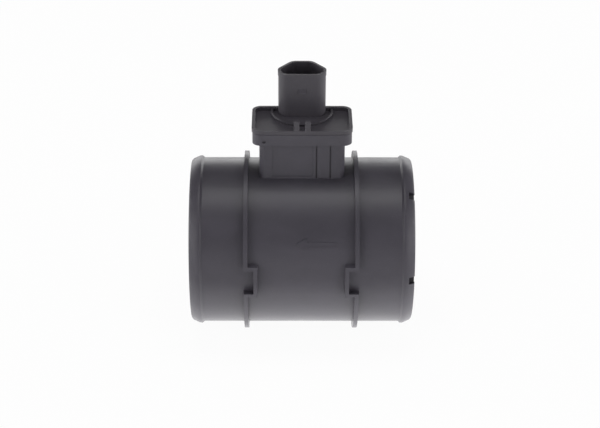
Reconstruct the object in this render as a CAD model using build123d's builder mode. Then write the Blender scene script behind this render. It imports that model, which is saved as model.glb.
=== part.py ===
import math
import os

from build123d import *

os.makedirs("parts", exist_ok=True)

# Duct: one moulded tube along X, with the centre of its outlet mouth at the origin
duct_length = 106.0
hose_diameter = 80.0
throat_bore = 71.0
outlet_bore = 73.2
outlet_bore_length = 24.0
diffuser_length = 8.0
inlet_bore = 72.4
inlet_taper_length = 4.0

# Hose beads at both mouths
bead_height = 0.85
bead_length = 5.0
bead_land = 1.0
bead_back = 1.0
mouth_drop = 0.5
mouth_rounding = 0.8

# Hose stops: thin rings round the duct, each led round a pocket on both sides
stop_spacing = 52.2
stop_thickness = 2.0
stop_height = 3.25
stop_shift = -0.3
pocket_level = 0.5
pocket_height = 12.4
pocket_depth = 3.7
pocket_upright = 1.9
pocket_shelf = 1.8
rib_sink = 1.0

# Tower that holds the plug-in sensor
tower_shift = 0.05
tower_length = 40.2
tower_width = 20.6
tower_corner = 2.4
tower_wall = 2.8
flange_bottom = 57.5
flange_top = 63.3
flange_length = 46.6
flange_width = 27.2
flange_corner = 4.2
flange_recess = 1.2
flange_edge = 2.2
seam_height = 0.3
seam_depth = 0.7
shoulder_height = 3.2
panel_start = -14.0
panel_end = 5.2
panel_depth = 0.3
panel_margin = 1.2
groove_places = (6.8, 13.3)
groove_width = 0.7
groove_depth = 0.8
band_height = 0.25
dimple_place = -17.8
dimple_rise = 2.0
dimple_radius = 0.8
dimple_depth = 0.6

# Raised arrow that shows the way of the air
arrow_height = 0.35
arrow_length = 19.0
arrow_head = 5.0
arrow_width = 5.0
arrow_shaft = 1.5
arrow_shift = 6.6
arrow_level = 17.6

# Flow grid and wire screen in the inlet mouth
seat_bore = 74.8
seat_depth = 12.2
seat_clearance = 0.1
grid_depth = 8.0
grid_inset = 0.3
grid_ring = 1.6
grid_pitch = 6.6
grid_web = 0.7
smallest_cell = 6.0
tab_count = 6
tab_width = 3.7
tab_depth = 2.7
tab_inset = 1.6
tab_clearance = 0.15
screen_thickness = 0.6
screen_rim = 1.4
screen_pitch = 10.5
screen_wire = 0.5

# Plug-in sensor: tray, connector, stem and measuring finger in one moulding
tray_length = 47.2
tray_width = 27.8
tray_corner = 4.5
tray_rim = 1.6
tray_rim_height = 1.9
tray_floor = 1.2
tray_clearance = 0.1
stem_clearance = 0.3
stem_corner = 3.4
seal_width = 2.4
seal_depth = 1.5
seal_drop = 7.0
seal_clearance = 0.05
seal_rounding = 0.5
finger_chord = 24.0
finger_thickness = 11.0
finger_tip = -9.0
finger_nose = 3.0
slot_clearance = 0.8
arc_radius = 14.8
arc_width = 1.0
arc_height = 1.0
arc_offset = 9.6
key_rib_width = 2.7
key_rib_gap = 2.6
key_rib_height = 3.2
key_rib_run = 3.6
key_rib_length = 6.0

# Connector shroud
plug_front = 5.2
plug_width = 22.5
plug_depth = 16.2
plug_back = 9.5
plug_side = 7.5
plug_front_rounding = 5.5
plug_side_rounding = 4.0
plug_back_rounding = 4.0
plug_top = 85.2
lip_height = 2.2
lip_overhang = 0.2
shroud_wall = 1.1
socket_depth = 16.5
latch_width = 3.6
latch_height = 2.2
latch_depth = 1.0
latch_edge = 0.6
latch_drop = 7.4

# Terminals
terminal_count = 5
terminal_pitch = 2.7
terminal_width = 1.2
terminal_thickness = 0.6
terminal_reach = 10.5
terminal_lead = 2.2
terminal_step = 8.8
terminal_rise = 3.0

# Pockets and covers of the measuring finger
cover_thickness = 1.4
cover_seat = 1.0
cover_gap = 0.1
cover_edge = 0.3
back_wall = 2.5
chamber_bottom = 17.6
cover_top_gap = 0.6
divider = 2.0
ledge_height = 3.0
channel_width = 3.8
inlet_leg = -3.4
sensing_leg = 7.0
channel_turn = -5.0
channel_end = 8.0
particle_exit = 1.8
outlet_window = 4.0

# What the finger holds
plate_thickness = 1.0
plate_inset = 1.2
tongue_width = 6.0
tongue_clearance = 0.1
board_thickness = 0.8
board_gap = 0.4
board_rise = 1.6
carrier_thickness = 1.2
chip_length = 3.4
chip_width = 2.6
chip_thickness = 0.4
processor_size = 6.0
processor_height = 1.2
processor_edge = 0.3
capacitor_length = 2.0
capacitor_width = 1.2
capacitor_height = 1.1
capacitor_spread = 4.6
capacitor_rows = 12.0
wire_width = 0.3
wire_thickness = 0.15
wire_rise = 0.5
wire_landing = 0.7
thermistor_radius = 1.0
thermistor_length = 2.4
thermistor_height = 32.0
thermistor_stand = 0.15
thermistor_rounding = 0.4
lead_radius = 0.25
lead_spacing = 0.9
air_pocket_width = 9.0
air_pocket_height = 12.0
air_pocket_depth = 1.5

# How far the cutting solids reach past the faces that they cut
cut_margin = 1.0

# Values that follow from the ones above
middle = duct_length / 2
tower_x = middle + tower_shift
hose_radius = hose_diameter / 2
throat_radius = throat_bore / 2
seat_radius = seat_bore / 2
seat_x = duct_length - seat_depth
stop_radius = hose_radius + stop_height
stop_places = [middle + stop_shift + side * stop_spacing / 2 for side in (-1, 1)]
tower_foot = math.sqrt(hose_radius**2 - (tower_width / 2) ** 2)
tower_front = -tower_width / 2
tower_root = throat_radius / 2
cavity_bottom = hose_radius + shoulder_height
cavity_length = tower_length - 2 * tower_wall
cavity_width = tower_width - 2 * tower_wall
ledge_top = flange_top - flange_recess
grid_radius = seat_radius - seat_clearance
grid_start = duct_length - grid_inset - grid_depth
screen_end = seat_x + screen_thickness
floor_bottom = ledge_top + tray_clearance
floor_top = floor_bottom + tray_floor
rim_top = flange_top + tray_rim_height
rim_front = -tray_width / 2
plug_offset = plug_front + plug_depth / 2
stem_length = cavity_length - 2 * stem_clearance
stem_width = cavity_width - 2 * stem_clearance
stem_bottom = cavity_bottom + stem_clearance
seal_top = flange_top - seal_drop
seal_bottom = seal_top - seal_width
finger_front = -finger_thickness / 2
cover_inside = finger_front + cover_thickness
cover_length = finger_chord - 2 * cover_seat
cover_top = stem_bottom - cover_top_gap
cover_bottom = finger_tip + cover_seat
chamber_top = cover_top - cover_seat
chamber_length = cover_length - 2 * cover_seat
divider_middle = chamber_bottom - divider / 2
pocket_floor = finger_thickness / 2 - back_wall
plate_face = pocket_floor - plate_thickness
board_face = plate_face - board_thickness
carrier_face = plate_face - carrier_thickness
ledge_bottom = chamber_top - ledge_height
plate_length = chamber_length - 2 * plate_inset
plate_bottom = chamber_bottom + plate_inset
board_bottom = plate_bottom + board_rise
board_top = ledge_bottom - board_gap
carrier_bottom = sensing_leg - channel_width / 2 + tongue_clearance
carrier_top = board_bottom - board_gap
sensing_top = sensing_leg + channel_width / 2
terminal_places = [(n - (terminal_count - 1) / 2) * terminal_pitch for n in range(terminal_count)]
terminal_low = chamber_top - terminal_lead
terminal_face = board_face - terminal_thickness


def level(height):
    """Horizontal plane at a height, centred on the tower's axis."""
    return Plane(origin=(tower_x, 0, height))


def below():
    """Upright plane along the duct's axis, where y runs downward as a radius."""
    return Plane(origin=(0, 0, 0), x_dir=(1, 0, 0), z_dir=(0, 1, 0))


def across(offset):
    """Upright plane across the duct, where x runs along Y and y runs along Z."""
    return Plane(origin=(tower_x + offset, 0, 0), x_dir=(0, 1, 0), z_dir=(1, 0, 0))


def mouth_points(mouth, inward):
    """Outline points of one mouth and its hose bead, from the end face inward."""
    rim = hose_radius - mouth_drop
    crest = hose_radius + bead_height
    return [
        (mouth, 0),
        (mouth, rim - mouth_rounding),
        (mouth + inward * mouth_rounding, rim),
        (mouth + inward * (bead_length - bead_land), crest),
        (mouth + inward * bead_length, crest),
        (mouth + inward * (bead_length + bead_back), hose_radius),
    ]


def plug_section(height, grow):
    """Outline of the connector at a height, flat in front and narrower behind, grown by a margin."""
    half = plug_width / 2
    rear = plug_back / 2
    shoulder = plug_front + plug_side
    far = plug_front + plug_depth
    with BuildSketch(level(height)) as section:
        with BuildLine():
            Polyline(
                (-half, plug_front),
                (half, plug_front),
                (half, shoulder),
                (rear, far),
                (-rear, far),
                (-half, shoulder),
                close=True,
            )
        make_face()
        fillet(section.vertices().group_by(Axis.Y)[1], plug_side_rounding)
        fillet(section.vertices().group_by(Axis.Y)[0], plug_front_rounding)
        fillet(section.vertices().group_by(Axis.Y)[-1], plug_back_rounding)
        if grow:
            offset(amount=grow)
    return section.sketch


def terminal_outline(place):
    """Outline of one terminal, stepped back twice, from the board up to the socket."""
    run = (floor_bottom + floor_top) / 2
    upper_run = run + terminal_rise
    half = terminal_thickness / 2
    top = plug_top - socket_depth + terminal_reach
    with BuildSketch(across(place - terminal_width / 2)) as outline:
        with BuildLine():
            Polyline(
                (terminal_face, terminal_low),
                (board_face, terminal_low),
                (board_face, run - half),
                (terminal_step + half, run - half),
                (terminal_step + half, upper_run - half),
                (plug_offset + half, upper_run - half),
                (plug_offset + half, top),
                (plug_offset - half, top),
                (plug_offset - half, upper_run + half),
                (terminal_step - half, upper_run + half),
                (terminal_step - half, run + half),
                (terminal_face, run + half),
                close=True,
            )
        make_face()
    return outline.sketch


def wire_outline(place, start_face, start_level, end_face, end_level):
    """Outline of one flat wire that bridges two faces of the board's side."""
    peak = min(start_face, end_face) - wire_rise
    shoulder = wire_rise / 2
    with BuildSketch(across(place - wire_width / 2)) as outline:
        with BuildLine():
            Polyline(
                (start_face, start_level),
                (peak, start_level + shoulder),
                (peak, end_level - shoulder),
                (end_face, end_level),
                (end_face, end_level - wire_thickness),
                (peak + wire_thickness, end_level - shoulder - wire_thickness),
                (peak + wire_thickness, start_level + shoulder + wire_thickness),
                (start_face, start_level + wire_thickness),
                close=True,
            )
        make_face()
    return outline.sketch


terminal_outlines = [terminal_outline(place) for place in terminal_places]

# Room that each hose stop leaves free for the pockets, outside the tube
with BuildPart() as pocket_room:
    for place in stop_places:
        with Locations((place, 0, pocket_level)):
            Box(stop_thickness + cut_margin, 2 * stop_radius + cut_margin, pocket_height)
    with Locations((middle, 0, 0)):
        Cylinder(hose_radius, duct_length, rotation=(0, 90, 0), mode=Mode.SUBTRACT)

# Three-sided ribs that lead the hose stops round the pockets
with BuildPart() as pocket_ribs:
    for place in stop_places:
        side = math.copysign(1, middle - place)
        reach = pocket_depth + pocket_upright
        with BuildSketch(Plane.XZ):
            with Locations((place + side * reach / 2, pocket_level)):
                Rectangle(reach, pocket_height + 2 * pocket_shelf)
            with Locations((place + side * pocket_depth / 2, pocket_level)):
                Rectangle(pocket_depth, pocket_height, mode=Mode.SUBTRACT)
        extrude(amount=stop_radius + cut_margin, both=True)
    with Locations((middle, 0, 0)):
        Cylinder(stop_radius, duct_length, rotation=(0, 90, 0), mode=Mode.INTERSECT)
        Cylinder(hose_radius - rib_sink, duct_length, rotation=(0, 90, 0), mode=Mode.SUBTRACT)

# Raised arrow on the tube's front, pointing to the outlet
with BuildPart() as flow_arrow:
    with BuildSketch(Plane(origin=(middle + arrow_shift, 0, arrow_level), x_dir=(1, 0, 0), z_dir=(0, -1, 0))):
        tip = -arrow_length / 2
        neck = tip + arrow_head
        tail = arrow_length / 2
        with BuildLine():
            Polyline(
                (tip, 0),
                (neck, arrow_width / 2),
                (neck, arrow_shaft / 2),
                (tail, arrow_shaft / 2),
                (tail, -arrow_shaft / 2),
                (neck, -arrow_shaft / 2),
                (neck, -arrow_width / 2),
                close=True,
            )
        make_face()
    extrude(amount=hose_radius + cut_margin)
    with Locations((middle, 0, 0)):
        Cylinder(hose_radius + arrow_height, duct_length, rotation=(0, 90, 0), mode=Mode.INTERSECT)
        Cylinder(hose_radius - rib_sink, duct_length, rotation=(0, 90, 0), mode=Mode.SUBTRACT)

# Duct housing: tube, beads, hose stops, pockets and tower in one moulding
with BuildPart() as tube_housing:
    with BuildSketch(below()):
        with BuildLine():
            Polyline(*mouth_points(0, 1), *reversed(mouth_points(duct_length, -1)), close=True)
        make_face()
    revolve(axis=Axis.X)
    for place in stop_places:
        with BuildSketch(below()):
            with Locations((place, hose_radius - rib_sink)):
                Rectangle(stop_thickness, stop_height + rib_sink, align=(Align.CENTER, Align.MIN))
        revolve(axis=Axis.X)
    add(pocket_room.part, mode=Mode.SUBTRACT)
    add(pocket_ribs.part)
    add(flow_arrow.part)
    with BuildSketch(level(tower_root)):
        RectangleRounded(tower_length, tower_width, tower_corner)
    extrude(amount=flange_bottom - tower_root)
    with BuildSketch(level(flange_bottom)):
        RectangleRounded(flange_length, flange_width, flange_corner)
    extrude(amount=flange_top - flange_bottom)
    # Front of the tower: sunk panel, two grooves and the proud band between them
    panel_bottom = tower_foot + panel_margin
    panel_top = flange_bottom - panel_margin
    panel_size = (panel_end - panel_start, panel_depth, panel_top - panel_bottom)
    with Locations((tower_x + (panel_start + panel_end) / 2, tower_front, (panel_bottom + panel_top) / 2)):
        Box(*panel_size, align=(Align.CENTER, Align.MIN, Align.CENTER), mode=Mode.SUBTRACT)
    band_foot = tower_foot + groove_depth / 2
    band_size = (groove_places[1] - groove_places[0], band_height, flange_bottom - band_foot)
    with Locations((tower_x + sum(groove_places) / 2, tower_front, band_foot)):
        Box(*band_size, align=(Align.CENTER, Align.MAX, Align.MIN))
    with Locations([(tower_x + place, tower_front - band_height, band_foot) for place in groove_places]):
        Box(
            groove_width,
            groove_depth + band_height,
            flange_bottom - band_foot,
            align=(Align.CENTER, Align.MIN, Align.MIN),
            mode=Mode.SUBTRACT,
        )
    dimple_plane = Plane(
        origin=(tower_x + dimple_place, -flange_width / 2, flange_bottom + dimple_rise),
        x_dir=(1, 0, 0),
        z_dir=(0, 1, 0),
    )
    with BuildSketch(dimple_plane):
        Circle(dimple_radius)
    extrude(amount=dimple_depth, mode=Mode.SUBTRACT)
    # Bore: straight outlet, diffuser, throat, inlet taper and the seat of screen and grid
    with BuildSketch(below()):
        with BuildLine():
            Polyline(
                (0, 0),
                (0, outlet_bore / 2),
                (outlet_bore_length, outlet_bore / 2),
                (outlet_bore_length + diffuser_length, throat_radius),
                (seat_x - inlet_taper_length, throat_radius),
                (seat_x, inlet_bore / 2),
                (seat_x, seat_radius),
                (duct_length, seat_radius),
                (duct_length, 0),
                close=True,
            )
        make_face()
    revolve(axis=Axis.X, mode=Mode.SUBTRACT)
    # Inside of the tower: stem cavity, finger slot and the recess for the tray
    with BuildSketch(level(cavity_bottom)):
        RectangleRounded(cavity_length, cavity_width, stem_corner + stem_clearance)
    extrude(amount=flange_top - cavity_bottom, mode=Mode.SUBTRACT)
    with BuildSketch(level(tower_root)):
        RectangleRounded(
            finger_chord + 2 * slot_clearance,
            finger_thickness + 2 * slot_clearance,
            finger_nose + slot_clearance,
        )
    extrude(amount=cavity_bottom - tower_root, mode=Mode.SUBTRACT)
    with BuildSketch(level(ledge_top)):
        RectangleRounded(
            flange_length - 2 * flange_edge, flange_width - 2 * flange_edge, flange_corner - flange_edge
        )
    extrude(amount=flange_recess, mode=Mode.SUBTRACT)
    # Seam under the tray's rim
    with BuildSketch(level(flange_top - seam_height)):
        RectangleRounded(flange_length + cut_margin, flange_width + cut_margin, flange_corner)
        RectangleRounded(
            flange_length - 2 * seam_depth,
            flange_width - 2 * seam_depth,
            flange_corner - seam_depth,
            mode=Mode.SUBTRACT,
        )
    extrude(amount=seam_height, mode=Mode.SUBTRACT)
    # Slots in the inlet mouth for the grid's snap tabs
    for number in range(tab_count):
        turn = 360 / tab_count * number
        y = hose_radius * math.cos(math.radians(turn))
        z = hose_radius * math.sin(math.radians(turn))
        with Locations(Location((duct_length, y, z), (turn, 0, 0))):
            Box(
                tab_depth,
                2 * (hose_radius - seat_radius + cut_margin),
                tab_width,
                align=(Align.MAX, Align.CENTER, Align.CENTER),
                mode=Mode.SUBTRACT,
            )
tube_housing.part.label = "tube_housing"
export_step(tube_housing.part, "parts/tube_housing.step")

# Flow grid: a ring that clamps the screen, square cells and six snap tabs
with BuildPart() as grid_cells:
    cell = grid_pitch - grid_web
    cell_rows = 2 * math.ceil(grid_radius / grid_pitch) + 1
    with BuildSketch(Plane.YZ.offset(grid_start)) as cell_sketch:
        with GridLocations(grid_pitch, grid_pitch, cell_rows, cell_rows):
            Rectangle(cell, cell)
        Circle(grid_radius - grid_ring, mode=Mode.INTERSECT)
    whole_cells = cell_sketch.sketch.faces().filter_by(lambda face: face.area > smallest_cell)
    extrude(whole_cells, amount=grid_depth)

with BuildPart() as inlet_grid:
    with BuildSketch(Plane.YZ.offset(grid_start)):
        Circle(grid_radius)
    extrude(amount=grid_depth)
    with BuildSketch(Plane.YZ.offset(screen_end)):
        Circle(grid_radius)
        Circle(grid_radius - grid_ring, mode=Mode.SUBTRACT)
    extrude(amount=grid_start - screen_end)
    add(grid_cells.part, mode=Mode.SUBTRACT)
    tab_length = tab_depth - tab_clearance - grid_inset
    tab_outside = hose_radius - tab_inset
    tab_inside = grid_radius - grid_ring / 2
    for number in range(tab_count):
        turn = 360 / tab_count * number
        y = tab_inside * math.cos(math.radians(turn))
        z = tab_inside * math.sin(math.radians(turn))
        with Locations(Location((duct_length - grid_inset, y, z), (turn, 0, 0))):
            Box(
                tab_length,
                tab_outside - tab_inside,
                tab_width - 2 * tab_clearance,
                align=(Align.MAX, Align.MIN, Align.CENTER),
            )
inlet_grid.part.label = "inlet_grid"
export_step(inlet_grid.part, "parts/inlet_grid.step")

# Wire screen, clamped between the seat and the grid's ring
with BuildPart() as screen_gaps:
    gap = screen_pitch - screen_wire
    gap_rows = 2 * math.ceil(grid_radius / screen_pitch) + 1
    with BuildSketch(Plane.YZ.offset(seat_x)) as gap_sketch:
        with GridLocations(screen_pitch, screen_pitch, gap_rows, gap_rows):
            Rectangle(gap, gap)
        Circle(grid_radius - screen_rim, mode=Mode.INTERSECT)
    whole_gaps = gap_sketch.sketch.faces().filter_by(lambda face: face.area > smallest_cell)
    extrude(whole_gaps, amount=screen_thickness)

with BuildPart() as wire_screen:
    with BuildSketch(Plane.YZ.offset(seat_x)):
        Circle(grid_radius)
    extrude(amount=screen_thickness)
    add(screen_gaps.part, mode=Mode.SUBTRACT)
wire_screen.part.label = "wire_screen"
export_step(wire_screen.part, "parts/wire_screen.step")

# Plug-in sensor body
with BuildPart() as sensor_body:
    # Tray that closes the tower
    with BuildSketch(level(flange_top)):
        RectangleRounded(tray_length, tray_width, tray_corner)
    extrude(amount=tray_rim_height)
    with BuildSketch(level(floor_top)):
        RectangleRounded(tray_length - 2 * tray_rim, tray_width - 2 * tray_rim, tray_corner - tray_rim)
    extrude(amount=rim_top - floor_top, mode=Mode.SUBTRACT)
    with BuildSketch(level(floor_bottom)):
        RectangleRounded(
            flange_length - 2 * flange_edge - 2 * tray_clearance,
            flange_width - 2 * flange_edge - 2 * tray_clearance,
            flange_corner - flange_edge - tray_clearance,
        )
    extrude(amount=flange_top - floor_bottom)
    # Curved bead on the tray floor, round the connector's axis
    with BuildSketch(level(floor_top)):
        with Locations((0, arc_offset)):
            Circle(arc_radius)
            Circle(arc_radius - arc_width, mode=Mode.SUBTRACT)
        Rectangle(tray_length - 2 * tray_rim, tray_width - 2 * tray_rim, mode=Mode.INTERSECT)
    extrude(amount=arc_height)
    # Two key ribs behind the front rim
    for side in (-1, 1):
        rib_start = side * (key_rib_gap + key_rib_width) / 2 - key_rib_width / 2
        with BuildSketch(across(rib_start)):
            with BuildLine():
                Polyline(
                    (rim_front, flange_top),
                    (rim_front, rim_top),
                    (rim_front + key_rib_run, rim_top + key_rib_height),
                    (rim_front + key_rib_length, rim_top + key_rib_height),
                    (rim_front + key_rib_length, flange_top),
                    close=True,
                )
            make_face()
        extrude(amount=key_rib_width)
    # Connector shroud with a lip at its mouth
    extrude(plug_section(flange_top, 0), amount=plug_top - flange_top)
    extrude(plug_section(plug_top - lip_height, lip_overhang), amount=lip_height)
    extrude(plug_section(plug_top - socket_depth, -shroud_wall), amount=socket_depth, mode=Mode.SUBTRACT)
    with BuildSketch(across(-latch_width / 2)):
        latch_top = plug_top - latch_drop
        with BuildLine():
            Polyline(
                (plug_front + latch_edge, latch_top),
                (plug_front, latch_top),
                (plug_front - latch_depth, latch_top - latch_height + latch_edge),
                (plug_front - latch_depth, latch_top - latch_height),
                (plug_front + latch_edge, latch_top - latch_height),
                close=True,
            )
        make_face()
    extrude(amount=latch_width)
    # Stem with the groove of its seal
    with BuildSketch(level(stem_bottom)):
        RectangleRounded(stem_length, stem_width, stem_corner)
    extrude(amount=floor_bottom - stem_bottom)
    with BuildSketch(level(seal_bottom)):
        RectangleRounded(stem_length + cut_margin, stem_width + cut_margin, stem_corner)
        RectangleRounded(
            stem_length - 2 * seal_depth,
            stem_width - 2 * seal_depth,
            stem_corner - seal_depth,
            mode=Mode.SUBTRACT,
        )
    extrude(amount=seal_width, mode=Mode.SUBTRACT)
    # Measuring finger with rounded nose and tail
    with BuildSketch(level(finger_tip)):
        RectangleRounded(finger_chord, finger_thickness, finger_nose)
    extrude(amount=stem_bottom - finger_tip)
    # Seats of the two covers, electronics chamber and the ledge under the terminals
    with Locations((tower_x, finger_front, (cover_bottom + cover_top) / 2)):
        Box(
            cover_length,
            cover_thickness,
            cover_top - cover_bottom,
            align=(Align.CENTER, Align.MIN, Align.CENTER),
            mode=Mode.SUBTRACT,
        )
    with Locations((tower_x, cover_inside, chamber_bottom)):
        Box(
            chamber_length,
            board_face - cover_inside,
            chamber_top - chamber_bottom,
            align=(Align.CENTER, Align.MIN, Align.MIN),
            mode=Mode.SUBTRACT,
        )
        Box(
            chamber_length,
            pocket_floor - cover_inside,
            ledge_bottom - chamber_bottom,
            align=(Align.CENTER, Align.MIN, Align.MIN),
            mode=Mode.SUBTRACT,
        )
    # Bypass channel: inlet leg, turn, sensing leg, particle exit and the carrier's slot
    channel_depth = pocket_floor - cover_inside
    turn_height = (inlet_leg + sensing_leg) / 2
    turn_radius = (sensing_leg - inlet_leg) / 2
    with BuildSketch(Plane(origin=(tower_x, cover_inside, 0), x_dir=(1, 0, 0), z_dir=(0, -1, 0))):
        with Locations((channel_turn, inlet_leg)):
            Rectangle(finger_chord, channel_width, align=(Align.MIN, Align.CENTER))
        with Locations((channel_turn, sensing_leg)):
            Rectangle(channel_end - channel_turn, channel_width, align=(Align.MIN, Align.CENTER))
        with Locations((channel_turn, inlet_leg)):
            Rectangle(finger_chord, particle_exit, align=(Align.MAX, Align.CENTER))
        with Locations((0, sensing_leg)):
            Rectangle(
                tongue_width + 2 * tongue_clearance,
                chamber_bottom - sensing_leg,
                align=(Align.CENTER, Align.MIN),
            )
        outer_turn = turn_radius + channel_width / 2
        inner_turn = turn_radius - channel_width / 2
        with BuildLine():
            CenterArc((channel_turn, turn_height), outer_turn, 90, 180)
            Line((channel_turn, turn_height - outer_turn), (channel_turn, turn_height - inner_turn))
            CenterArc((channel_turn, turn_height), inner_turn, 90, 180)
            Line((channel_turn, turn_height + inner_turn), (channel_turn, turn_height + outer_turn))
        make_face()
    extrude(amount=-channel_depth, mode=Mode.SUBTRACT)
    # Pocket of the air temperature sensor on the back
    with Locations((tower_x, -finger_front, thermistor_height)):
        Box(
            air_pocket_width,
            air_pocket_depth,
            air_pocket_height,
            align=(Align.CENTER, Align.MAX, Align.CENTER),
            mode=Mode.SUBTRACT,
        )
    # The terminals are moulded in
    for outline in terminal_outlines:
        extrude(outline, amount=terminal_width, mode=Mode.SUBTRACT)
sensor_body.part.label = "sensor_body"
export_step(sensor_body.part, "parts/sensor_body.step")

# Terminals, one node each
for number, outline in enumerate(terminal_outlines, start=1):
    with BuildPart() as terminal:
        extrude(outline, amount=terminal_width)
    terminal.part.label = f"terminal_{number}"
    export_step(terminal.part, f"parts/terminal_{number}.step")

# Seal in the stem's groove
with BuildPart() as stem_seal:
    seal_inside = seal_depth - seal_clearance
    with BuildSketch(level(seal_bottom + seal_clearance)):
        RectangleRounded(
            cavity_length - 2 * seal_clearance,
            cavity_width - 2 * seal_clearance,
            stem_corner + stem_clearance - seal_clearance,
        )
        RectangleRounded(
            stem_length - 2 * seal_inside,
            stem_width - 2 * seal_inside,
            stem_corner - seal_inside,
            mode=Mode.SUBTRACT,
        )
    extrude(amount=seal_width - 2 * seal_clearance)
    seal_faces = stem_seal.faces().filter_by(Axis.Z)
    chamfer([edge for face in seal_faces for edge in face.outer_wire().edges()], seal_rounding)
stem_seal.part.label = "stem_seal"
export_step(stem_seal.part, "parts/stem_seal.step")

# Cover of the electronics chamber
with BuildPart() as electronics_cover:
    low = divider_middle + cover_gap / 2
    high = cover_top - cover_gap
    with Locations((tower_x, finger_front, (low + high) / 2)):
        Box(
            cover_length - 2 * cover_gap,
            cover_thickness,
            high - low,
            align=(Align.CENTER, Align.MIN, Align.CENTER),
        )
    chamfer(electronics_cover.faces().sort_by(Axis.Y)[0].edges(), cover_edge)
electronics_cover.part.label = "electronics_cover"
export_step(electronics_cover.part, "parts/electronics_cover.step")

# Cover of the bypass channel, with its outlet window and the pad over the carrier
with BuildPart() as channel_cover:
    low = cover_bottom + cover_gap
    high = divider_middle - cover_gap / 2
    with Locations((tower_x, finger_front, (low + high) / 2)):
        Box(
            cover_length - 2 * cover_gap,
            cover_thickness,
            high - low,
            align=(Align.CENTER, Align.MIN, Align.CENTER),
        )
    chamfer(channel_cover.faces().sort_by(Axis.Y)[0].edges(), cover_edge)
    with Locations((tower_x, cover_inside, sensing_top)):
        Box(
            tongue_width,
            carrier_face - cover_gap - cover_inside,
            high - sensing_top,
            align=(Align.CENTER, Align.MIN, Align.MIN),
        )
    with Locations((tower_x + channel_end - outlet_window / 2, finger_front, sensing_leg)):
        Box(
            outlet_window,
            cover_thickness,
            channel_width,
            align=(Align.CENTER, Align.MIN, Align.CENTER),
            mode=Mode.SUBTRACT,
        )
channel_cover.part.label = "channel_cover"
export_step(channel_cover.part, "parts/channel_cover.step")

# Metal mounting plate with the tongue that reaches into the channel
with BuildPart() as mounting_plate:
    with Locations((tower_x, plate_face, plate_bottom)):
        Box(
            plate_length,
            plate_thickness,
            board_top - plate_bottom,
            align=(Align.CENTER, Align.MIN, Align.MIN),
        )
    with Locations((tower_x, plate_face, carrier_bottom)):
        Box(
            tongue_width,
            plate_thickness,
            plate_bottom - carrier_bottom,
            align=(Align.CENTER, Align.MIN, Align.MIN),
        )
mounting_plate.part.label = "mounting_plate"
export_step(mounting_plate.part, "parts/mounting_plate.step")

# Circuit board
with BuildPart() as circuit_board:
    with Locations((tower_x, board_face, board_bottom)):
        Box(
            plate_length,
            board_thickness,
            board_top - board_bottom,
            align=(Align.CENTER, Align.MIN, Align.MIN),
        )
circuit_board.part.label = "circuit_board"
export_step(circuit_board.part, "parts/circuit_board.step")

# Signal processor on the board
board_middle = (board_bottom + board_top) / 2
with BuildPart() as signal_processor:
    with Locations((tower_x, board_face, board_middle)):
        Box(processor_size, processor_height, processor_size, align=(Align.CENTER, Align.MAX, Align.CENTER))
    chamfer(signal_processor.faces().sort_by(Axis.Y)[0].edges(), processor_edge)
signal_processor.part.label = "signal_processor"
export_step(signal_processor.part, "parts/signal_processor.step")

# Capacitors on the board
with BuildPart() as board_capacitors:
    capacitor_plane = Plane(origin=(tower_x, board_face, board_middle), x_dir=(1, 0, 0), z_dir=(0, -1, 0))
    with BuildSketch(capacitor_plane):
        with GridLocations(capacitor_spread, capacitor_rows, 3, 2):
            Rectangle(capacitor_length, capacitor_width)
    extrude(amount=capacitor_height)
board_capacitors.part.label = "board_capacitors"
export_step(board_capacitors.part, "parts/board_capacitors.step")

# Carrier that holds the sensor chip in the channel
with BuildPart() as chip_carrier:
    with Locations((tower_x, carrier_face, carrier_bottom)):
        Box(
            tongue_width,
            carrier_thickness,
            carrier_top - carrier_bottom,
            align=(Align.CENTER, Align.MIN, Align.MIN),
        )
chip_carrier.part.label = "chip_carrier"
export_step(chip_carrier.part, "parts/chip_carrier.step")

# Sensor chip
with BuildPart() as sensor_chip:
    with Locations((tower_x, carrier_face, sensing_leg)):
        Box(chip_width, chip_thickness, chip_length, align=(Align.CENTER, Align.MAX, Align.CENTER))
sensor_chip.part.label = "sensor_chip"
export_step(sensor_chip.part, "parts/sensor_chip.step")

# Wires from the terminals to the board
with BuildPart() as terminal_wires:
    for place in terminal_places:
        start = board_top - wire_landing
        end = terminal_low + wire_landing
        extrude(wire_outline(place, board_face, start, terminal_face, end), amount=wire_width)
terminal_wires.part.label = "terminal_wires"
export_step(terminal_wires.part, "parts/terminal_wires.step")

# Wires from the chip's carrier to the board
with BuildPart() as carrier_wires:
    wire_pitch = tongue_width / (terminal_count + 1)
    for number in range(terminal_count):
        place = (number - (terminal_count - 1) / 2) * wire_pitch
        start = carrier_top - wire_landing
        end = board_bottom + wire_landing
        extrude(wire_outline(place, carrier_face, start, board_face, end), amount=wire_width)
carrier_wires.part.label = "carrier_wires"
export_step(carrier_wires.part, "parts/carrier_wires.step")

# Air temperature sensor in the finger's back
thermistor_depth = finger_thickness / 2 - air_pocket_depth + thermistor_radius + thermistor_stand
bead_top = thermistor_height + thermistor_length / 2
with BuildPart() as thermistor:
    with BuildSketch(Plane(origin=(tower_x, thermistor_depth, bead_top - thermistor_length))):
        Circle(thermistor_radius)
    extrude(amount=thermistor_length)
    chamfer(thermistor.edges().group_by(Axis.Z)[0], thermistor_rounding)
thermistor.part.label = "thermistor"
export_step(thermistor.part, "parts/thermistor.step")

with BuildPart() as thermistor_leads:
    lead_length = thermistor_height + air_pocket_height / 2 - bead_top
    with BuildSketch(Plane(origin=(tower_x, thermistor_depth, bead_top))):
        with GridLocations(lead_spacing, 0, 2, 1):
            Circle(lead_radius)
    extrude(amount=lead_length)
thermistor_leads.part.label = "thermistor_leads"
export_step(thermistor_leads.part, "parts/thermistor_leads.step")
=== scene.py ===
"""Mass airflow sensor: finished pieces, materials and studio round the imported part."""

import math

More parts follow.
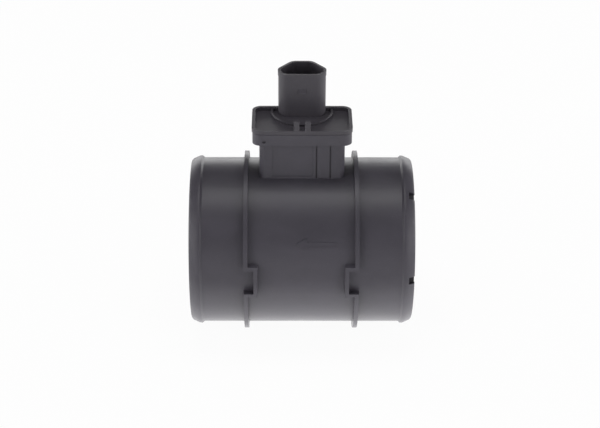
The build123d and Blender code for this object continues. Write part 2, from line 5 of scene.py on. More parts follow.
import bmesh
import bpy
from bpy.props import FloatProperty, FloatVectorProperty, PointerProperty
from bpy.types import Operator, Panel, PropertyGroup
from mathutils import Matrix, Vector


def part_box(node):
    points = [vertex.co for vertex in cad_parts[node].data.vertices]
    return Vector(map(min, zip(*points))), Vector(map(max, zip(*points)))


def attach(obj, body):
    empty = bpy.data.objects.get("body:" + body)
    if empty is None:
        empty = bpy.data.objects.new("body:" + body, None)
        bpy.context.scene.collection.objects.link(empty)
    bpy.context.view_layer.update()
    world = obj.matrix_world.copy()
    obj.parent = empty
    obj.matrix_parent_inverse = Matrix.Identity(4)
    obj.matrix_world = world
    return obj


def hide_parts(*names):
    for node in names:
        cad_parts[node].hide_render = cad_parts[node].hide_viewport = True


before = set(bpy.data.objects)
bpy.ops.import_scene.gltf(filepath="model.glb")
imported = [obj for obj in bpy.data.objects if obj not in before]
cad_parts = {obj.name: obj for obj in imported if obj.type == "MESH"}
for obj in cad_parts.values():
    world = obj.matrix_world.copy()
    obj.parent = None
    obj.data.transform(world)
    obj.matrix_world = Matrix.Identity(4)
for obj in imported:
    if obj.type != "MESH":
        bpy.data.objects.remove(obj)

bl_info = {
    "name": "Mass Airflow Sensor",
    "version": (1, 0, 0),
    "blender": (4, 5, 0),
    "location": "3D View > Sidebar > Air Meter",
    "description": "Builds the finished pieces of an air meter round its packed frame",
    "category": "Object",
}

MM = 0.001
PHOTO_WIDTH = 600
PHOTO_HEIGHT = 428

# Angle between two faces above which an edge counts as an edge of the moulding
MOULD_EDGE = math.radians(28)
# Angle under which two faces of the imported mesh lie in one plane
FLAT_ANGLE = math.radians(0.3)
WELD_DISTANCE = 0.002 * MM
# Finish that the duct housing and the sensor body share
CASING_ROUGHNESS = 0.42
CASING_GLOSS = 0.35
DUST_COLOUR = (0.16, 0.15, 0.145, 1)
# Depth of the mould's grain and of the drawing lines
GRAIN_DEPTH = 0.04 * MM
DRAWN_DEPTH = 0.02 * MM
# Flat pieces round the wire screen's pressed rim
RIM_PIECES = 96

duct_low, duct_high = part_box("tube_housing")
duct_middle = (duct_low.x + duct_high.x) / 2
floor_level = duct_low.z
screen_low, screen_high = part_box("wire_screen")


class RoundingSizes(PropertyGroup):
    """Radii that break the edges of the finished pieces."""

    housing: FloatProperty(
        name="Housing edges",
        description="Rounding of the duct housing's edges",
        default=0.3 * MM,
        subtype="DISTANCE",
        unit="LENGTH",
    )
    sensor: FloatProperty(
        name="Sensor body edges",
        description="Rounding of the edges of the tray and the connector",
        default=0.22 * MM,
        subtype="DISTANCE",
        unit="LENGTH",
    )
    grid: FloatProperty(
        name="Grid edges",
        description="Rounding of the flow grid's webs",
        default=0.12 * MM,
        subtype="DISTANCE",
        unit="LENGTH",
    )
    small: FloatProperty(
        name="Small edges",
        description="Rounding of covers, terminals and parts on the board",
        default=0.08 * MM,
        subtype="DISTANCE",
        unit="LENGTH",
    )


class ScreenSizes(PropertyGroup):
    """Sizes of the woven wire screen."""

    pitch: FloatProperty(
        name="Mesh pitch",
        description="Distance between two wires of the screen",
        default=1.5 * MM,
        subtype="DISTANCE",
        unit="LENGTH",
    )
    wire: FloatProperty(
        name="Wire diameter",
        description="Thickness of one wire of the screen",
        default=0.22 * MM,
        subtype="DISTANCE",
        unit="LENGTH",
    )
    rim: FloatProperty(
        name="Rim width",
        description="Width of the pressed rim that holds the wires",
        default=1.2 * MM,
        subtype="DISTANCE",
        unit="LENGTH",
    )


def colour_property(name, description, default):
    """One colour that a user may change."""
    return FloatVectorProperty(
        name=name, description=description, default=default, size=3, min=0.0, max=1.0, subtype="COLOR"
    )


class FinishColours(PropertyGroup):
    """Colours of the finishes."""

    housing: colour_property("Housing", "Filled plastic of the duct housing", (0.051, 0.047, 0.059))
    sensor: colour_property("Sensor body", "Plastic of the tray, connector and finger", (0.047, 0.043, 0.052))
    # The grid's colour is darker than its plastic's own colour (about 0.05): it is partly painted shade that
    # makes the tabs in the mouth's slots look dark
    grid: colour_property("Grid", "Plastic of the flow grid", (0.024, 0.022, 0.026))
    cover: colour_property("Covers", "Plastic of the finger's covers", (0.04, 0.038, 0.042))
    rubber: colour_property("Seal", "Rubber of the stem's seal", (0.02, 0.02, 0.02))
    steel: colour_property("Screen", "Steel of the wire screen", (0.55, 0.55, 0.56))
    tin: colour_property("Terminals", "Tinned terminals", (0.72, 0.71, 0.68))
    plate: colour_property("Plate", "Mounting plate of the electronics", (0.75, 0.76, 0.78))
    board: colour_property("Board", "Ceramic circuit board", (0.8, 0.79, 0.73))
    package: colour_property("Processor", "Moulded chip package", (0.03, 0.03, 0.032))
    capacitor: colour_property("Capacitors", "Ceramic capacitors", (0.45, 0.33, 0.2))
    carrier: colour_property("Carrier", "Carrier of the sensor chip", (0.12, 0.24, 0.14))
    silicon: colour_property("Sensor chip", "Polished silicon", (0.3, 0.33, 0.42))
    bond: colour_property("Bond wires", "Drawn bond wire", (0.78, 0.76, 0.7))
    glass: colour_property("Thermistor", "Glass bead of the air temperature sensor", (0.3, 0.08, 0.05))


class StudioSizes(PropertyGroup):
    """Camera and lamps of the studio."""

    distance: FloatProperty(
        name="Camera distance",
        description="From the duct's middle to the camera",
        default=0.85,
        subtype="DISTANCE",
        unit="LENGTH",
    )
    elevation: FloatProperty(
        name="Camera elevation",
        description="Angle of the camera above the duct's middle",
        default=math.radians(29.5),
        subtype="ANGLE",
    )
    turn: FloatProperty(
        name="Camera turn",
        description="Turn of the camera round the upright axis",
        default=math.radians(-0.5),
        subtype="ANGLE",
    )
    roll: FloatProperty(
        name="Camera roll",
        description="Turn of the picture, clockwise",
        default=math.radians(0.3),
        subtype="ANGLE",
    )
    scale: FloatProperty(
        name="Picture scale",
        description="Picture widths that one metre covers at the duct's middle",
        default=3.408,
    )
    lamp_level: FloatProperty(
        name="Lamp level",
        description="Multiplier on the power of all lamps",
        default=1.0,
    )


def settings(name):
    """The property group of that name on the scene."""
    return getattr(bpy.context.scene, name)


# Shader node groups


def new_group(name, inputs, outputs):
    """A shader node group with its sockets, and its input and output nodes."""
    group = bpy.data.node_groups.new(name, "ShaderNodeTree")
    for socket, kind, default in inputs:
        item = group.interface.new_socket(name=socket, in_out="INPUT", socket_type=kind)
        if default is not None:
            item.default_value = default
    for socket, kind in outputs:
        group.interface.new_socket(name=socket, in_out="OUTPUT", socket_type=kind)
    return group, group.nodes.new("NodeGroupInput"), group.nodes.new("NodeGroupOutput")


def add_noise(tree, vector, scale, detail, roughness=0.5):
    """A noise texture on a vector socket, and its value."""
    noise = tree.nodes.new("ShaderNodeTexNoise")
    noise.inputs["Detail"].default_value = detail
    noise.inputs["Roughness"].default_value = roughness
    if isinstance(scale, (int, float)):
        noise.inputs["Scale"].default_value = scale
    else:
        tree.links.new(scale, noise.inputs["Scale"])
    tree.links.new(vector, noise.inputs["Vector"])
    return noise.outputs["Fac"]


def add_math(tree, operation, first, second, clamp=False):
    """A Math node on two sockets or numbers, and its value."""
    node = tree.nodes.new("ShaderNodeMath")
    node.operation = operation
    node.use_clamp = clamp
    for socket, value in zip(node.inputs, (first, second)):
        if isinstance(value, (int, float)):
            socket.default_value = value
        else:
            tree.links.new(value, socket)
    return node.outputs[0]


def add_range(tree, value, low, high, to_low, to_high):
    """A Map Range node on a value, and its result."""
    node = tree.nodes.new("ShaderNodeMapRange")
    numbers = {"From Min": low, "From Max": high, "To Min": to_low, "To Max": to_high}
    for name, number in numbers.items():
        if isinstance(number, (int, float)):
            node.inputs[name].default_value = number
        else:
            tree.links.new(number, node.inputs[name])
    tree.links.new(value, node.inputs["Value"])
    return node.outputs["Result"]


def add_mix(tree, factor, first, second, blend="MIX"):
    """A colour mix of two sockets or colours, and its result."""
    node = tree.nodes.new("ShaderNodeMix")
    node.data_type = "RGBA"
    node.blend_type = blend
    for name, value in (("Factor", factor), ("A", first), ("B", second)):
        socket = next(s for s in node.inputs if s.name == name and s.enabled)
        if isinstance(value, (int, float, tuple)):
            socket.default_value = value
        else:
            tree.links.new(value, socket)
    return next(s for s in node.outputs if s.enabled)


def moulded_plastic_group():
    """Eroded mould texture, cloudy shade and flow marks of filled plastic."""
    group, given, made = new_group(
        "Moulded Plastic",
        [
            ("Vector", "NodeSocketVector", None),
            ("Colour", "NodeSocketColor", (0.03, 0.03, 0.03, 1)),
            ("Roughness", "NodeSocketFloat", 0.4),
            ("Grain Scale", "NodeSocketFloat", 2600.0),
            ("Shade Change", "NodeSocketFloat", 0.2),
        ],
        [("Colour", "NodeSocketColor"), ("Roughness", "NodeSocketFloat"), ("Height", "NodeSocketFloat")],
    )
    vector = given.outputs["Vector"]
    grain = add_noise(group, vector, given.outputs["Grain Scale"], 3.0, 0.6)
    cloud = add_noise(group, vector, 38.0, 4.0, 0.6)
    stretch = group.nodes.new("ShaderNodeMapping")
    stretch.inputs["Scale"].default_value = (14.0, 150.0, 60.0)
    group.links.new(vector, stretch.inputs["Vector"])
    flow = add_noise(group, stretch.outputs["Vector"], 1.0, 2.0)
    cloud_share = add_math(group, "MULTIPLY", cloud, 0.7)
    flow_share = add_math(group, "MULTIPLY", flow, 0.3)
    marks = add_math(group, "ADD", cloud_share, flow_share)
    darker = add_math(group, "SUBTRACT", 1.0, given.outputs["Shade Change"])
    lighter = add_math(group, "ADD", 1.0, given.outputs["Shade Change"])
    shade = add_range(group, marks, 0.3, 0.7, darker, lighter)
    tint = group.nodes.new("ShaderNodeVectorMath")
    tint.operation = "SCALE"
    group.links.new(given.outputs["Colour"], tint.inputs[0])
    group.links.new(shade, tint.inputs["Scale"])
    group.links.new(tint.outputs["Vector"], made.inputs["Colour"])
    uneven = add_range(group, marks, 0.3, 0.7, -0.04, 0.05)
    fine = add_range(group, grain, 0.3, 0.7, -0.05, 0.05)
    patchy = add_math(group, "ADD", given.outputs["Roughness"], uneven)
    rough = add_math(group, "ADD", patchy, fine, clamp=True)
    group.links.new(rough, made.inputs["Roughness"])
    group.links.new(grain, made.inputs["Height"])
    return group


def dust_group():
    """Fine dust and handling specks: a mask that is mostly empty."""
    group, given, made = new_group(
        "Dust And Specks",
        [("Vector", "NodeSocketVector", None), ("Amount", "NodeSocketFloat", 0.3)],
        [("Mask", "NodeSocketFloat")],
    )
    vector = given.outputs["Vector"]
    specks = add_range(group, add_noise(group, vector, 1400.0, 1.0), 0.68, 0.76, 0.0, 1.0)
    film = add_range(group, add_noise(group, vector, 55.0, 5.0, 0.7), 0.5, 0.8, 0.0, 0.35)
    both = add_math(group, "MAXIMUM", specks, film)
    mask = add_math(group, "MULTIPLY", both, given.outputs["Amount"], clamp=True)
    group.links.new(mask, made.inputs["Mask"])
    return group


def drawn_metal_group():
    """Drawing lines along one direction, with a slight change of shade."""
    group, given, made = new_group(
        "Drawn Metal",
        [
            ("Vector", "NodeSocketVector", None),
            ("Colour", "NodeSocketColor", (0.6, 0.6, 0.6, 1)),
            ("Roughness", "NodeSocketFloat", 0.3),
            ("Along", "NodeSocketVector", (1.0, 1.0, 0.05)),
        ],
        [("Colour", "NodeSocketColor"), ("Roughness", "NodeSocketFloat"), ("Height", "NodeSocketFloat")],
    )
    squeeze = group.nodes.new("ShaderNodeVectorMath")
    squeeze.operation = "MULTIPLY"
    group.links.new(given.outputs["Vector"], squeeze.inputs[0])
    group.links.new(given.outputs["Along"], squeeze.inputs[1])
    lines = add_noise(group, squeeze.outputs["Vector"], 6000.0, 2.0)
    stain = add_noise(group, given.outputs["Vector"], 120.0, 3.0)
    line_shade = add_range(group, lines, 0.3, 0.7, 0.9, 1.05)
    stain_shade = add_range(group, stain, 0.3, 0.7, 0.88, 1.0)
    shade = add_math(group, "MULTIPLY", line_shade, stain_shade)
    tint = group.nodes.new("ShaderNodeVectorMath")
    tint.operation = "SCALE"
    group.links.new(given.outputs["Colour"], tint.inputs[0])
    group.links.new(shade, tint.inputs["Scale"])
    group.links.new(tint.outputs["Vector"], made.inputs["Colour"])
    worn = add_range(group, lines, 0.3, 0.7, -0.06, 0.08)
    rough = add_math(group, "ADD", given.outputs["Roughness"], worn, clamp=True)
    group.links.new(rough, made.inputs["Roughness"])
    group.links.new(lines, made.inputs["Height"])
    return group


def shader_groups():
    """The shared node groups, built once."""
    if "Moulded Plastic" not in bpy.data.node_groups:
        moulded_plastic_group()
        dust_group()
        drawn_metal_group()
    return bpy.data.node_groups


def start_material(name):
    """A new material with its tree, Principled shader and object coordinates."""
    material = bpy.data.materials.new(name)
    material.use_nodes = True
    tree = material.node_tree
    shader = tree.nodes["Principled BSDF"]
    place = tree.nodes.new("ShaderNodeTexCoord")
    return material, tree, shader, place.outputs["Object"]


def add_group(tree, name, vector, values):
    """A shared group in a material, with its own values."""
    node = tree.nodes.new("ShaderNodeGroup")
    node.node_tree = shader_groups()[name]
    tree.links.new(vector, node.inputs["Vector"])
    for socket, value in values.items():
        node.inputs[socket].default_value = value
    return node


def add_bump(tree, height, strength, distance):
    """A Bump node on a height, and its normal."""
    bump = tree.nodes.new("ShaderNodeBump")
    bump.inputs["Strength"].default_value = strength
    bump.inputs["Distance"].default_value = distance
    tree.links.new(height, bump.inputs["Height"])
    return bump.outputs["Normal"]


def plastic_material(name, colour, roughness, grain_scale=2600.0, bump=0.18, dust=0.12, specular=0.5):
    """Moulded plastic with mould grain, cloudy shade and a little dust."""
    material, tree, shader, vector = start_material(name)
    plastic = add_group(
        tree,
        "Moulded Plastic",
        vector,
        {"Colour": (*colour, 1), "Roughness": roughness, "Grain Scale": grain_scale, "Shade Change": 0.16},
    )
    specks = add_group(tree, "Dust And Specks", vector, {"Amount": dust})
    dusty = add_mix(tree, specks.outputs["Mask"], plastic.outputs["Colour"], DUST_COLOUR)
    tree.links.new(dusty, shader.inputs["Base Color"])
    matt = add_math(tree, "MULTIPLY", specks.outputs["Mask"], 0.35)
    rough = add_math(tree, "ADD", plastic.outputs["Roughness"], matt, clamp=True)
    tree.links.new(rough, shader.inputs["Roughness"])
    tree.links.new(add_bump(tree, plastic.outputs["Height"], bump, GRAIN_DEPTH), shader.inputs["Normal"])
    shader.inputs["Specular IOR Level"].default_value = specular
    return material


def metal_material(name, colour, roughness, along, bump=0.1):
    """Drawn or rolled metal."""
    material, tree, shader, vector = start_material(name)
    metal = add_group(
        tree, "Drawn Metal", vector, {"Colour": (*colour, 1), "Roughness": roughness, "Along": along}
    )
    tree.links.new(metal.outputs["Colour"], shader.inputs["Base Color"])
    tree.links.new(metal.outputs["Roughness"], shader.inputs["Roughness"])
    tree.links.new(add_bump(tree, metal.outputs["Height"], bump, DRAWN_DEPTH), shader.inputs["Normal"])
    shader.inputs["Metallic"].default_value = 1.0
    return material


# Pieces


def finish_mesh(bm, name, material):
    """A smooth-shaded object from a bmesh, with its large faces kept flat."""
    mesh = bpy.data.meshes.new(name)
    bm.to_mesh(mesh)
    bm.free()
    mesh.shade_smooth()
    mesh.set_sharp_from_angle(angle=MOULD_EDGE)
    mesh.materials.append(material)
    piece = bpy.data.objects.new(name, mesh)
    bpy.context.scene.collection.objects.link(piece)
    weight = piece.modifiers.new("Face weighted normals", "WEIGHTED_NORMAL")
    weight.mode = "FACE_AREA"
    weight.keep_sharp = True
    return piece


def softened_piece(node, name, rounding, material, segments=2):
    """A finished piece in a CAD node's place: its surfaces welded, its edges rounded."""
    bm = bmesh.new()
    bm.from_mesh(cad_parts[node].data)
    bmesh.ops.remove_doubles(bm, verts=bm.verts, dist=WELD_DISTANCE)
    bmesh.ops.dissolve_limit(bm, angle_limit=FLAT_ANGLE, verts=bm.verts, edges=bm.edges)
    edges = [edge for edge in bm.edges if edge.is_manifold and edge.calc_face_angle(0) > MOULD_EDGE]
    bmesh.ops.bevel(
        bm,
        geom=edges,
        offset=rounding,
        offset_type="OFFSET",
        segments=segments,
        profile=0.5,
        affect="EDGES",
        clamp_overlap=True,
        material=-1,
    )
    piece = finish_mesh(bm, name, material)
    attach(piece, "root")
    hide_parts(node)
    return piece


def dress_node(node, material):
    """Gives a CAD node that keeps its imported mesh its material."""
    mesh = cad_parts[node].data
    mesh.materials.clear()
    mesh.materials.append(material)


class AIRMETER_OT_duct_housing(Operator):
    """Round the duct housing's edges and give it its plastic"""

    bl_idname = "airmeter.duct_housing"
    bl_label = "Duct Housing"

    def execute(self, context):
        colour = settings("air_colours").housing
        plastic = plastic_material("housing plastic", colour, CASING_ROUGHNESS, specular=CASING_GLOSS)
        softened_piece(
            "tube_housing", "duct_housing", settings("air_rounding").housing, plastic
        )
        return {"FINISHED"}


class AIRMETER_OT_sensor_body(Operator):
    """Round the edges of tray, connector and finger and give them their plastic"""

    bl_idname = "airmeter.sensor_body"
    bl_label = "Sensor Body"

    def execute(self, context):
        colour = settings("air_colours").sensor
        plastic = plastic_material("sensor plastic", colour, CASING_ROUGHNESS, 3000.0, specular=CASING_GLOSS)
        softened_piece(
            "sensor_body", "plug_in_sensor", settings("air_rounding").sensor, plastic
        )
        return {"FINISHED"}


class AIRMETER_OT_flow_grid(Operator):
    """Round the webs of the flow grid"""

    bl_idname = "airmeter.flow_grid"
    bl_label = "Flow Grid"

    def execute(self, context):
        # This plastic's dark colour carries painted shade for the tabs seen in the mouth's slots
        plastic = plastic_material("grid plastic with painted slot shade", settings("air_colours").grid, 0.5, specular=0.15)
        softened_piece("inlet_grid", "flow_grid", settings("air_rounding").grid, plastic)
        return {"FINISHED"}


class AIRMETER_OT_wire_screen(Operator):
    """Weave the wire screen"""

    bl_idname = "airmeter.wire_screen"
    bl_label = "Wire Screen"

    def execute(self, context):
        sizes = settings("air_screen")
        middle = (screen_low + screen_high) / 2
        radius = (screen_high.y - screen_low.y) / 2
        wave = (screen_high.x - screen_low.x) / 2 - sizes.wire / 2
        reach = radius - sizes.rim / 2
        bm = bmesh.new()
        rows = int(reach / sizes.pitch)
        for turned in (False, True):
            for row in range(-rows, rows + 1):
                weave_wire(bm, row, turned, sizes.pitch, sizes.wire / 2, min(wave, sizes.wire / 2), reach)
        press_rim(bm, radius, radius - sizes.rim, wave)
        bmesh.ops.rotate(bm, verts=bm.verts, matrix=Matrix.Rotation(math.radians(90), 3, "Y"))
        bmesh.ops.translate(bm, verts=bm.verts, vec=middle)
        bmesh.ops.recalc_face_normals(bm, faces=bm.faces)
        steel = metal_material("screen steel", settings("air_colours").steel, 0.32, (1.0, 1.0, 1.0))
        screen = finish_mesh(bm, "woven_screen", steel)
        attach(screen, "root")
        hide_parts("wire_screen")
        return {"FINISHED"}


def ring_edges(ring):
    """The edges between the vertices of one open ring of a wire."""
    edges = [edge for vert in ring for edge in vert.link_edges if edge.other_vert(vert) in ring]
    return list(dict.fromkeys(edges))


def weave_wire(bm, row, turned, pitch, radius, wave, reach):
    """One wire of the screen, in the plane z = 0, over and under the wires that it crosses."""
    offset = row * pitch
    steps = int(math.sqrt(reach**2 - offset**2) / pitch)
    if steps == 0:
        return
    side = -1 if turned else 1
    heights = [side * wave * (1 if (row + step) % 2 else -1) for step in range(-steps, steps + 1)]
    ring = bmesh.ops.create_circle(
        bm, cap_ends=True, segments=4, radius=radius, matrix=Matrix.Rotation(math.radians(90), 4, "Y")
    )["verts"]
    bmesh.ops.translate(bm, verts=ring, vec=(-steps * pitch, offset, heights[0]))
    made = list(ring)
    for before, after in zip(heights, heights[1:]):
        grown = bmesh.ops.extrude_edge_only(bm, edges=ring_edges(ring))["geom"]
        ring = [item for item in grown if isinstance(item, bmesh.types.BMVert)]
        bmesh.ops.translate(bm, verts=ring, vec=(pitch, 0, after - before))
        made += ring
    bmesh.ops.contextual_create(bm, geom=ring_edges(ring))
    if turned:
        bmesh.ops.rotate(bm, verts=made, matrix=Matrix.Rotation(math.radians(90), 3, "Z"))


def press_rim(bm, outside, inside, half_height):
    """Flat pressed ring round the screen, in the plane z = 0."""
    corners = [(inside, -half_height), (outside, -half_height), (outside, half_height), (inside, half_height)]
    verts = [bm.verts.new((x, 0, z)) for x, z in corners]
    edges = [bm.edges.new((verts[n], verts[(n + 1) % len(verts)])) for n in range(len(verts))]
    bmesh.ops.spin(
        bm,
        geom=verts + edges,
        cent=(0, 0, 0),
        axis=(0, 0, 1),
        angle=math.tau,
        steps=RIM_PIECES,
        use_merge=True,
    )


class AIRMETER_OT_stem_seal(Operator):
    """Give the stem's seal its rubber"""

    bl_idname = "airmeter.stem_seal"
    bl_label = "Stem Seal"

    def execute(self, context):
        rubber = plastic_material("seal rubber", settings("air_colours").rubber, 0.7, 1800.0, 0.3, 0.4)
        dress_node("stem_seal", rubber)
        return {"FINISHED"}


class AIRMETER_OT_finger_covers(Operator):
    """Round the edges of the finger's two covers"""

    bl_idname = "airmeter.finger_covers"
    bl_label = "Finger Covers"

    def execute(self, context):
        plastic = plastic_material("cover plastic", settings("air_colours").cover, 0.42)
        for node, name in (("electronics_cover", "chamber_lid"), ("channel_cover", "channel_lid")):
            softened_piece(node, name, settings("air_rounding").small, plastic)
        return {"FINISHED"}


class AIRMETER_OT_electronics(Operator):
    """Finish the mounting plate, board, parts on it, carrier and sensor chip"""

    bl_idname = "airmeter.electronics"
    bl_label = "Electronics"

    def execute(self, context):
        colours = settings("air_colours")
        rounding = settings("air_rounding").small
        dress_node("mounting_plate", metal_material("rolled plate", colours.plate, 0.35, (0.05, 1.0, 1.0)))
        dress_node("circuit_board", plastic_material("ceramic board", colours.board, 0.55, 5000.0, 0.1, 0.1))
        package = plastic_material("chip package", colours.package, 0.5, 4000.0)
        softened_piece("signal_processor", "processor_chip", rounding, package)
        ceramic = plastic_material("capacitor ceramic", colours.capacitor, 0.3, 5000.0, 0.08, 0.1)
        softened_piece("board_capacitors", "capacitor_row", rounding, ceramic)
        dress_node("chip_carrier", plastic_material("carrier laminate", colours.carrier, 0.45, 5000.0))
        silicon, tree, shader, vector = start_material("silicon")
        polish = add_noise(tree, vector, 900.0, 2.0)
        tree.links.new(
            add_mix(tree, polish, (*colours.silicon, 1), (0.24, 0.3, 0.4, 1)), shader.inputs["Base Color"]
        )
        tree.links.new(add_range(tree, polish, 0.3, 0.7, 0.06, 0.14), shader.inputs["Roughness"])
        shader.inputs["Metallic"].default_value = 0.8
        dress_node("sensor_chip", silicon)
        return {"FINISHED"}


class AIRMETER_OT_wires(Operator):
    """Give bond wires and thermistor leads their drawn metal"""

    bl_idname = "airmeter.wires"
    bl_label = "Wires"

    def execute(self, context):
        drawn = metal_material("bond wire", settings("air_colours").bond, 0.25, (1.0, 1.0, 0.05))
        for node in ("terminal_wires", "carrier_wires", "thermistor_leads"):
            dress_node(node, drawn)
        return {"FINISHED"}


class AIRMETER_OT_thermistor(Operator):
    """Give the air temperature sensor its glass"""

    bl_idname = "airmeter.thermistor"
    bl_label = "Thermistor"

    def execute(self, context):
        glass, tree, shader, vector = start_material("bead glass")
        streaks = add_noise(tree, vector, 700.0, 3.0)
        amber = add_mix(tree, streaks, (*settings("air_colours").glass, 1), (0.42, 0.16, 0.08, 1))
        tree.links.new(amber, shader.inputs["Base Color"])
        tree.links.new(add_range(tree, streaks, 0.3, 0.7, 0.08, 0.2), shader.inputs["Roughness"])
        dress_node("thermistor", glass)
        return {"FINISHED"}


class AIRMETER_OT_terminals(Operator):
    """Round the edges of the five terminals"""

    bl_idname = "airmeter.terminals"
    bl_label = "Terminals"

    def execute(self, context):
        tinned = metal_material("tinned metal", settings("air_colours").tin, 0.28, (1.0, 1.0, 0.05))
        for node in sorted(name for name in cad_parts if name.startswith("terminal_")):
            if node != "terminal_wires":
                number = node.rsplit("_", 1)[1]
                softened_piece(
                    node, f"blade_{number}", settings("air_rounding").small, tinned
                )
        return {"FINISHED"}


# Studio

FLOOR_SIZE = 6.0
WHITE = (1.0, 1.0, 1.0, 1.0)
SENSOR_WIDTH = 36.0
# Where the duct's middle lies in the picture, in pixels
DUCT_PIXEL = (301.35, 239.0)
# Share of plain white in the floor that the picture and reflections show; the rest keeps the shadow
FLOOR_GLOW = 0.95
FLOOR_COLOUR = (0.9, 0.9, 0.9, 1)
# Brightness of the surroundings that light the object, from the horizon (0) to straight above (1)
SKY_STOPS = ((0.0, 0.9), (0.1, 0.8), (0.3, 0.2), (1.0, 0.1))

# Softboxes that face the duct's middle: degrees round it from the front and above it, distance,
# width and height in metres, and brightness
SOFTBOXES = (
    ("overhead softbox", 0, 88, 1.0, 0.6, 0.4, 4.4),
    ("left softbox", -50, 20, 1.1, 0.6, 0.7, 2.3),
    ("right softbox", 50, 20, 1.1, 0.6, 0.7, 2.3),
    ("left wall", -100, 10, 1.0, 0.8, 0.35, 5.5),
    ("right wall", 100, 10, 1.0, 0.8, 0.35, 5.5),
    ("back wall", 180, 8, 1.1, 1.4, 0.3, 3.2),
)
# Lit strips of the table in front of the duct and under it: front edge, back edge and brightness
TABLE_STRIPS = ((-0.6, -0.25, 0.7), (-0.08, 0.0, 1.2))
TABLE_SIDE = 0.45
TABLE_LIFT = 0.05 * MM


def studio_floor():
    """Pale floor that carries the object's shadow and glows white in the picture."""
    bm = bmesh.new()
    bmesh.ops.create_grid(bm, x_segments=1, y_segments=1, size=FLOOR_SIZE / 2)
    bmesh.ops.translate(bm, verts=bm.verts, vec=(duct_middle, 0, floor_level))
    mesh = bpy.data.meshes.new("studio_floor")
    bm.to_mesh(mesh)
    bm.free()
    floor = bpy.data.objects.new("studio_floor", mesh)
    bpy.context.scene.collection.objects.link(floor)
    material = bpy.data.materials.new("studio floor")
    material.use_nodes = True
    tree = material.node_tree
    tree.nodes.clear()
    output = tree.nodes.new("ShaderNodeOutputMaterial")
    matt = tree.nodes.new("ShaderNodeBsdfDiffuse")
    matt.inputs["Color"].default_value = FLOOR_COLOUR
    glow = tree.nodes.new("ShaderNodeEmission")
    glow.inputs["Color"].default_value = WHITE
    light_path = tree.nodes.new("ShaderNodeLightPath")
    seen = light_path.outputs["Is Camera Ray"]
    for name in ("Is Glossy Ray", "Is Transmission Ray"):
        seen = add_math(tree, "ADD", seen, light_path.outputs[name], clamp=True)
    mix = tree.nodes.new("ShaderNodeMixShader")
    tree.links.new(add_math(tree, "MULTIPLY", seen, FLOOR_GLOW), mix.inputs["Fac"])
    tree.links.new(matt.outputs["BSDF"], mix.inputs[1])
    tree.links.new(glow.outputs["Emission"], mix.inputs[2])
    tree.links.new(mix.outputs["Shader"], output.inputs["Surface"])
    mesh.materials.append(material)


def studio_world():
    """White surroundings for the camera, and a soft sky that darkens upward for every other ray."""
    world = bpy.data.worlds.new("studio")
    bpy.context.scene.world = world
    world.use_nodes = True
    tree = world.node_tree
    background = tree.nodes["Background"]
    output = tree.nodes["World Output"]
    place = tree.nodes.new("ShaderNodeTexCoord")
    split = tree.nodes.new("ShaderNodeSeparateXYZ")
    tree.links.new(place.outputs["Generated"], split.inputs["Vector"])
    ramp = tree.nodes.new("ShaderNodeValToRGB")
    elements = ramp.color_ramp.elements
    while len(elements) < len(SKY_STOPS):
        elements.new(0.5)
    for element, (position, level) in zip(elements, SKY_STOPS):
        element.position = position
        element.color = (level, level, level, 1)
    tree.links.new(split.outputs["Z"], ramp.inputs["Fac"])
    tree.links.new(ramp.outputs["Color"], background.inputs["Color"])
    white = tree.nodes.new("ShaderNodeBackground")
    white.inputs["Color"].default_value = WHITE
    light_path = tree.nodes.new("ShaderNodeLightPath")
    mix = tree.nodes.new("ShaderNodeMixShader")
    tree.links.new(light_path.outputs["Is Camera Ray"], mix.inputs["Fac"])
    tree.links.new(background.outputs["Background"], mix.inputs[1])
    tree.links.new(white.outputs["Background"], mix.inputs[2])
    tree.links.new(mix.outputs["Shader"], output.inputs["Surface"])


def soft_panel(name, place, facing, width, height, brightness):
    """A rectangular lamp that the camera doesn't see."""
    light = bpy.data.lights.new(name, "AREA")
    light.shape = "RECTANGLE"
    light.size = width
    light.size_y = height
    light.energy = brightness * math.pi * width * height * settings("air_studio").lamp_level
    lamp = bpy.data.objects.new(name, light)
    lamp.location = place
    lamp.rotation_euler = Vector(facing).to_track_quat("-Z", "Y").to_euler()
    lamp.visible_camera = False
    bpy.context.scene.collection.objects.link(lamp)


def studio_lamps():
    """Soft light from above, from both sides, from the back and from the table top."""
    target = Vector((duct_middle, 0, 0))
    for name, turn, lift, distance, width, height, brightness in SOFTBOXES:
        turn, lift = math.radians(turn), math.radians(lift)
        away = Vector((math.sin(turn) * math.cos(lift), -math.cos(turn) * math.cos(lift), math.sin(lift)))
        soft_panel(name, target + away * distance, -away, width, height, brightness)
    for front, back, brightness in TABLE_STRIPS:
        place = (duct_middle, (front + back) / 2, floor_level + TABLE_LIFT)
        soft_panel("lit table", place, (0, 0, 1), 2 * TABLE_SIDE, back - front, brightness)


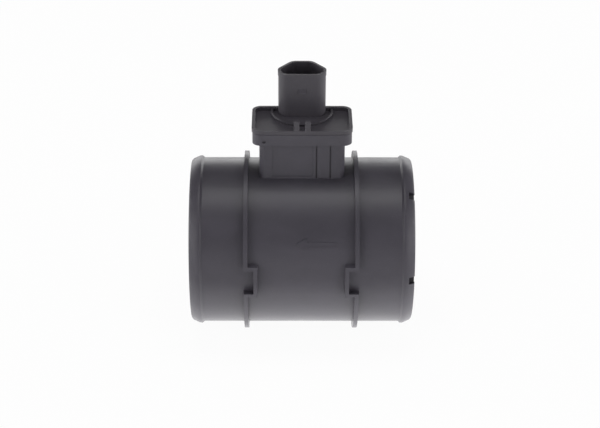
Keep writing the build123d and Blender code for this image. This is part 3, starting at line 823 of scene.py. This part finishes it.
def studio_camera():
    """Camera at the photograph's angle, aimed so that the duct falls where the photograph shows it."""
    sizes = settings("air_studio")
    camera = bpy.data.cameras.new("studio_camera")
    camera.sensor_fit = "HORIZONTAL"
    camera.sensor_width = SENSOR_WIDTH
    camera.lens = sizes.scale * sizes.distance * SENSOR_WIDTH
    camera.shift_x = -(DUCT_PIXEL[0] - PHOTO_WIDTH / 2) / PHOTO_WIDTH
    camera.shift_y = (DUCT_PIXEL[1] - PHOTO_HEIGHT / 2) / PHOTO_WIDTH
    camera.clip_start = 0.05
    camera.clip_end = 50.0
    turn, lift, roll = sizes.turn, sizes.elevation, sizes.roll
    right = Vector((math.cos(turn), math.sin(turn), 0))
    back = Vector((math.sin(turn) * math.cos(lift), -math.cos(turn) * math.cos(lift), math.sin(lift)))
    up = back.cross(right)
    rolled_right = right * math.cos(roll) + up * math.sin(roll)
    rolled_up = back.cross(rolled_right)
    place = Vector((duct_middle, 0, 0)) + back * sizes.distance
    matrix = Matrix((rolled_right, rolled_up, back)).transposed().to_4x4()
    matrix.translation = place
    camera_object = bpy.data.objects.new("studio_camera", camera)
    camera_object.matrix_world = matrix
    bpy.context.scene.collection.objects.link(camera_object)
    bpy.context.scene.camera = camera_object


class AIRMETER_OT_studio(Operator):
    """Set up floor, surroundings, lamps and camera"""

    bl_idname = "airmeter.studio"
    bl_label = "Studio"

    def execute(self, context):
        context.scene.view_settings.view_transform = "Standard"
        studio_floor()
        studio_world()
        studio_lamps()
        studio_camera()
        return {"FINISHED"}


OPERATORS = (
    AIRMETER_OT_duct_housing,
    AIRMETER_OT_sensor_body,
    AIRMETER_OT_flow_grid,
    AIRMETER_OT_wire_screen,
    AIRMETER_OT_stem_seal,
    AIRMETER_OT_finger_covers,
    AIRMETER_OT_electronics,
    AIRMETER_OT_wires,
    AIRMETER_OT_thermistor,
    AIRMETER_OT_terminals,
    AIRMETER_OT_studio,
)

GROUPS = (
    ("air_rounding", RoundingSizes),
    ("air_screen", ScreenSizes),
    ("air_colours", FinishColours),
    ("air_studio", StudioSizes),
)


class AIRMETER_PT_pieces(Panel):
    """Lists the steps that build the air meter"""

    bl_idname = "AIRMETER_PT_pieces"
    bl_label = "Air Meter"
    bl_space_type = "VIEW_3D"
    bl_region_type = "UI"
    bl_category = "Air Meter"

    def draw(self, context):
        for name, group in GROUPS:
            box = self.layout.box()
            for prop in group.__annotations__:
                box.prop(getattr(context.scene, name), prop)
        for operator in OPERATORS:
            self.layout.operator(operator.bl_idname)


def register():
    for name, group in GROUPS:
        bpy.utils.register_class(group)
        setattr(bpy.types.Scene, name, PointerProperty(type=group))
    for operator in OPERATORS:
        bpy.utils.register_class(operator)
    bpy.utils.register_class(AIRMETER_PT_pieces)


def unregister():
    bpy.utils.unregister_class(AIRMETER_PT_pieces)
    for operator in reversed(OPERATORS):
        bpy.utils.unregister_class(operator)
    for name, group in reversed(GROUPS):
        delattr(bpy.types.Scene, name)
        bpy.utils.unregister_class(group)


def main():
    """Builds everything."""
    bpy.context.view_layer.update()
    register()
    for operator in OPERATORS:
        group, step = operator.bl_idname.split(".")
        getattr(getattr(bpy.ops, group), step)()
    bpy.context.view_layer.update()


if __name__ == "__main__":
    main()
